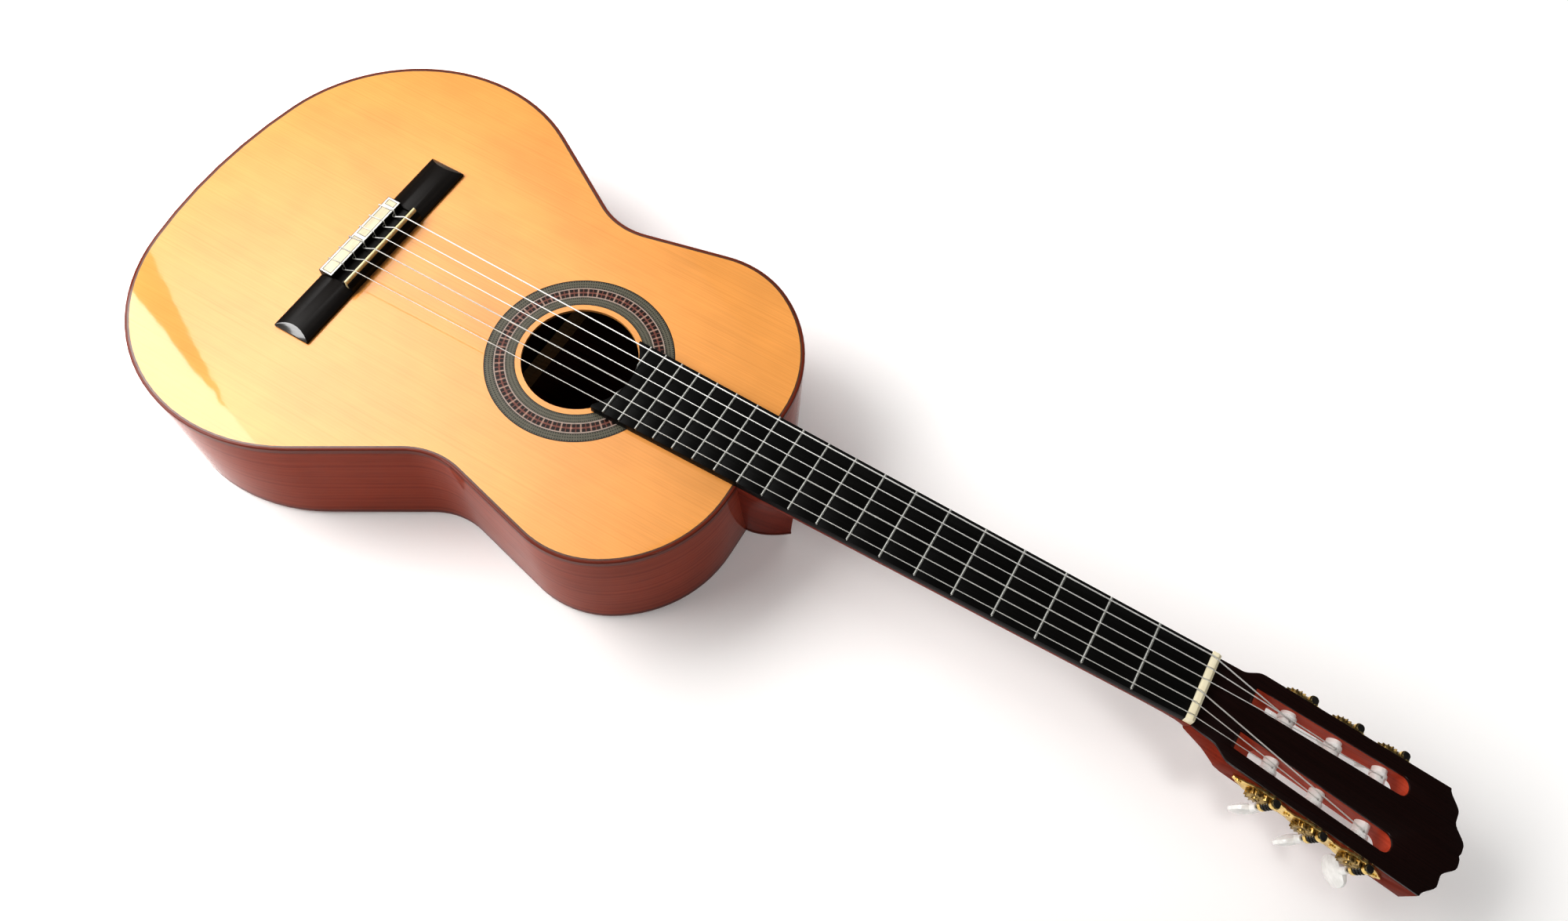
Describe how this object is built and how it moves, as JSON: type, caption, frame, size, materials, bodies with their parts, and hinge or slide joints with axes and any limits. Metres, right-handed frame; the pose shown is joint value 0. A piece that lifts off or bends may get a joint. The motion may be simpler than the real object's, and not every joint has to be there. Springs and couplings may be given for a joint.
{
  "type": "classical guitar",
  "caption": "Classical guitar with waisted wooden body, round soundhole with mosaic rosette, slotted head, worm-geared tuners with pearl buttons, and a tie-block bridge.",
  "frame": {"origin": "middle of the overall length and width, at the lowest line of the arched back, with the guitar lying on its back", "axes": "+X along the neck towards the head, +Y towards the bass side, +Z out of the soundboard"},
  "size_m": [1.008, 0.37, 0.1169],
  "materials": {
    "top_wood": "gloss",
    "rosette_band": "gloss",
    "rosette_mosaic": "gloss",
    "side_wood": "gloss",
    "back_wood": "gloss",
    "dark_strip": "gloss",
    "inner_wood": "matte",
    "neck_wood": "satin",
    "ebony": "satin",
    "fret_metal": "polished",
    "bone": "satin",
    "white_inlay": "gloss",
    "cream_inlay": "gloss",
    "nylon": "gloss",
    "wound_string": "wound",
    "gold_plate": "polished",
    "white_roller": "gloss",
    "black_metal": "gloss",
    "pearl": "pearl"
  },
  "bodies": {
    "guitar": {"soundboard": "top_wood", "rosette": "rosette_band", "mosaic": "rosette_mosaic", "bass_side": "side_wood", "treble_side": "side_wood", "back_bass_half": "back_wood", "back_treble_half": "back_wood", "back_strip": "dark_strip", "bindings": "dark_strip", "top_purfling": "dark_strip", "linings": "inner_wood", "tail_block": "inner_wood", "foot_block": "inner_wood", "fan_braces": "inner_wood", "harmonic_bars": "inner_wood", "back_braces": "inner_wood", "neck": "neck_wood", "heel_cap": "dark_strip", "headstock": "neck_wood", "head_veneer": "ebony", "fretboard": "ebony", "frets": "fret_metal", "nut": "bone", "bridge": "ebony", "saddle": "bone", "tie_frames": "white_inlay", "tie_panels": "cream_inlay", "string_1": "nylon", "string_2": "nylon", "string_3": "nylon", "string_4": "wound_string", "string_5": "wound_string", "string_6": "wound_string", "plate_bass": "gold_plate", "plate_treble": "gold_plate", "plate_screws": "gold_plate"},
    "winder_1": {"roller_1": "white_roller", "gear_1": "gold_plate"},
    "key_1": {"worm_1": "black_metal", "button_1": "pearl"},
    "winder_2": {"roller_2": "white_roller", "gear_2": "gold_plate"},
    "key_2": {"worm_2": "black_metal", "button_2": "pearl"},
    "winder_3": {"roller_3": "white_roller", "gear_3": "gold_plate"},
    "key_3": {"worm_3": "black_metal", "button_3": "pearl"},
    "winder_4": {"roller_4": "white_roller", "gear_4": "gold_plate"},
    "key_4": {"worm_4": "black_metal", "button_4": "pearl"},
    "winder_5": {"roller_5": "white_roller", "gear_5": "gold_plate"},
    "key_5": {"worm_5": "black_metal", "button_5": "pearl"},
    "winder_6": {"roller_6": "white_roller", "gear_6": "gold_plate"},
    "key_6": {"worm_6": "black_metal", "button_6": "pearl"}
  },
  "joints": [
    {"name": "roller_turn_1", "type": "hinge", "parent": "guitar", "child": "winder_1", "pos_m": [0.37205, -0.03431, 0.0837], "axis": [-0.0351, -0.9994, 0.0075], "continuous": true},
    {"name": "button_turn_1", "type": "hinge", "parent": "guitar", "child": "key_1", "pos_m": [0.38324, -0.03834, 0.09155], "axis": [0.2079, 0, 0.9781], "continuous": true},
    {"name": "roller_turn_2", "type": "hinge", "parent": "guitar", "child": "winder_2", "pos_m": [0.40626, -0.03556, 0.07643], "axis": [-0.0351, -0.9994, 0.0075], "continuous": true},
    {"name": "button_turn_2", "type": "hinge", "parent": "guitar", "child": "key_2", "pos_m": [0.41745, -0.0396, 0.08428], "axis": [0.2079, 0, 0.9781], "continuous": true},
    {"name": "roller_turn_3", "type": "hinge", "parent": "guitar", "child": "winder_3", "pos_m": [0.44047, -0.03682, 0.06916], "axis": [-0.0351, -0.9994, 0.0075], "continuous": true},
    {"name": "button_turn_3", "type": "hinge", "parent": "guitar", "child": "key_3", "pos_m": [0.45166, -0.04085, 0.07701], "axis": [0.2079, 0, 0.9781], "continuous": true},
    {"name": "roller_turn_4", "type": "hinge", "parent": "guitar", "child": "winder_4", "pos_m": [0.44047, 0.03682, 0.06916], "axis": [-0.0351, 0.9994, 0.0075], "continuous": true},
    {"name": "button_turn_4", "type": "hinge", "parent": "guitar", "child": "key_4", "pos_m": [0.45166, 0.04085, 0.07701], "axis": [0.2079, 0, 0.9781], "continuous": true},
    {"name": "roller_turn_5", "type": "hinge", "parent": "guitar", "child": "winder_5", "pos_m": [0.40626, 0.03556, 0.07643], "axis": [-0.0351, 0.9994, 0.0075], "continuous": true},
    {"name": "button_turn_5", "type": "hinge", "parent": "guitar", "child": "key_5", "pos_m": [0.41745, 0.0396, 0.08428], "axis": [0.2079, 0, 0.9781], "continuous": true},
    {"name": "roller_turn_6", "type": "hinge", "parent": "guitar", "child": "winder_6", "pos_m": [0.37205, 0.03431, 0.0837], "axis": [-0.0351, 0.9994, 0.0075], "continuous": true},
    {"name": "button_turn_6", "type": "hinge", "parent": "guitar", "child": "key_6", "pos_m": [0.38324, 0.03834, 0.09155], "axis": [0.2079, 0, 0.9781], "continuous": true}
  ],
  "couplings": [
    {"joint": "roller_turn_1", "follows": "button_turn_1", "ratio": 0.071429},
    {"joint": "roller_turn_2", "follows": "button_turn_2", "ratio": 0.071429},
    {"joint": "roller_turn_3", "follows": "button_turn_3", "ratio": 0.071429},
    {"joint": "roller_turn_4", "follows": "button_turn_4", "ratio": 0.071429},
    {"joint": "roller_turn_5", "follows": "button_turn_5", "ratio": 0.071429},
    {"joint": "roller_turn_6", "follows": "button_turn_6", "ratio": 0.071429}
  ]
}
